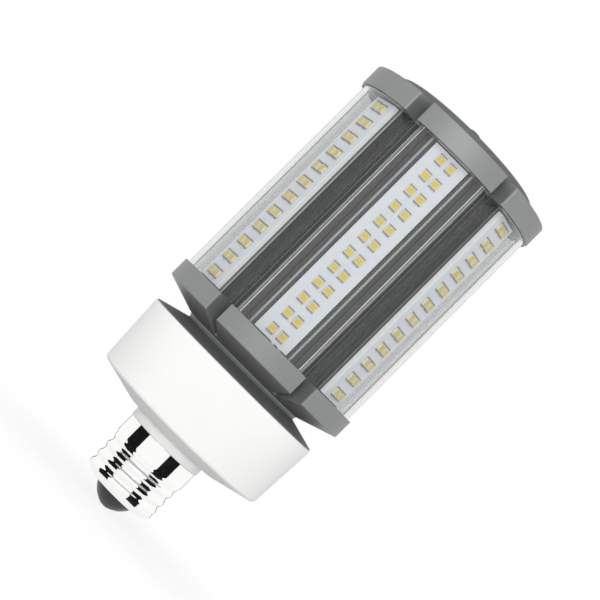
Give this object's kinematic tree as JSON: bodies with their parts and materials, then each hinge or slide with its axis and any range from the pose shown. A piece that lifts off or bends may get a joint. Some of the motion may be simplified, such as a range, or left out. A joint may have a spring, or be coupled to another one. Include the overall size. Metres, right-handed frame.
{
  "type": "corn led bulb",
  "caption": "Six-sided LED lamp on a screw cap: white driver housing, dark ribbed body with a clear-covered LED board on every face, notched round end frames and a round top lid.",
  "frame": {"origin": "tip of the centre contact, on the lamp axis", "axes": "+Z along the lamp axis from the screw cap towards the top lid; one LED face looks along -Y"},
  "size_m": [0.0718, 0.0722, 0.1641],
  "materials": {
    "contact": "satin",
    "insulator": "gloss",
    "screw_cap_metal": "polished",
    "white_housing": "satin",
    "dark_moulding": "matte",
    "heat_sink_metal": "painted satin",
    "screws": "plated",
    "circuit_board": "satin",
    "ferrite": "matte",
    "coil_wrap": "satin",
    "capacitor_can": "sleeved",
    "component_plastic": "matte",
    "wire_insulation": "satin",
    "led_board_white": "white solder mask",
    "led_package": "satin",
    "clear_cover": "clear"
  },
  "bodies": {
    "root": {"bridge_rectifier": "component_plastic", "cap_insulator": "insulator", "centre_contact": "contact", "choke": "component_plastic", "controller_chip": "component_plastic", "driver_board": "circuit_board", "driver_housing": "white_housing", "driver_screws": "screws", "filter_capacitor": "component_plastic", "fuse": "component_plastic", "heat_sink": "heat_sink_metal", "housing_lid": "dark_moulding", "input_capacitor": "capacitor_can", "led_board_1": "led_board_white", "led_board_2": "led_board_white", "led_board_3": "led_board_white", "led_board_4": "led_board_white", "led_board_5": "led_board_white", "led_board_6": "led_board_white", "led_packages_1": "led_package", "led_packages_2": "led_package", "led_packages_3": "led_package", "led_packages_4": "led_package", "led_packages_5": "led_package", "led_packages_6": "led_package", "lens_cover_1": "clear_cover", "lens_cover_2": "clear_cover", "lens_cover_3": "clear_cover", "lens_cover_4": "clear_cover", "lens_cover_5": "clear_cover", "lens_cover_6": "clear_cover", "line_wire": "wire_insulation", "lower_end_frame": "dark_moulding", "lower_frame_screws": "screws", "neutral_wire": "wire_insulation", "output_capacitor": "capacitor_can", "output_wires": "wire_insulation", "screw_shell": "screw_cap_metal", "switching_transistor": "component_plastic", "top_lid": "dark_moulding", "top_screw": "screws", "transformer_coil": "coil_wrap", "transformer_core": "ferrite", "upper_end_frame": "dark_moulding", "upper_frame_screws": "screws"}
  },
  "joints": []
}
